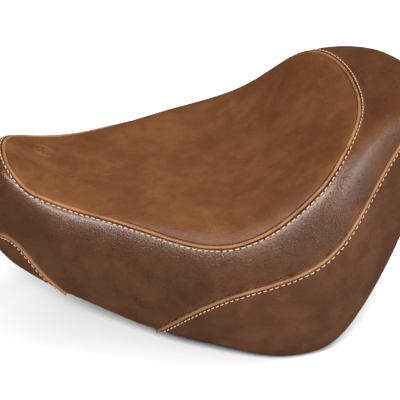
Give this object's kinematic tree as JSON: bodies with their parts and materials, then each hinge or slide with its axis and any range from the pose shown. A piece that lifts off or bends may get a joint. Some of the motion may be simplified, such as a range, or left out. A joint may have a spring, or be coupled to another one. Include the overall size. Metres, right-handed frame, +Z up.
{
  "type": "motorcycle seat",
  "caption": "Solo motorcycle saddle: dished seat, raised tail, leather panels with sewn welts over foam on a moulded base with tongue, tab and rubber feet.",
  "frame": {"origin": "middle of the seat's length and width, on the level the rear skirts stand on", "axes": "+X towards the rear of the machine, +Y towards the rider's right, +Z up"},
  "size_m": [0.5496, 0.378, 0.2855],
  "materials": {
    "insert_leather": "matte pull-up leather, waxed",
    "band_leather": "satin pull-up leather",
    "skirt_leather": "satin pull-up leather",
    "welt_leather": "burnished folded edge",
    "thread": "bonded thread",
    "foam": "moulded open-cell foam",
    "base_plastic": "moulded, fine texture",
    "strip_plastic": "extruded",
    "rivet_aluminium": "plain",
    "brass": "plain",
    "zinc_steel": "zinc plated",
    "rubber": "moulded"
  },
  "bodies": {
    "root": {"seat_insert_panel": "insert_leather", "side_band_panel": "band_leather", "rear_skirt_panel": "skirt_leather", "nose_skirt_panel": "skirt_leather", "insert_welt": "welt_leather", "rear_skirt_welt": "welt_leather", "nose_skirt_welt": "welt_leather", "insert_topstitch": "thread", "rear_skirt_topstitch": "thread", "nose_skirt_topstitch": "thread", "foam_core": "foam", "baseplate": "base_plastic", "hem_strip": "strip_plastic", "hem_rivets": "rivet_aluminium", "boss_inserts": "brass", "front_tongue": "zinc_steel", "tongue_washers": "zinc_steel", "tongue_bolts": "zinc_steel", "rear_tab": "zinc_steel", "rear_tab_washers": "zinc_steel", "rear_tab_bolts": "zinc_steel", "front_bumpers": "rubber", "middle_bumpers": "rubber", "rear_bumpers": "rubber", "bumper_screws": "zinc_steel"}
  },
  "joints": []
}
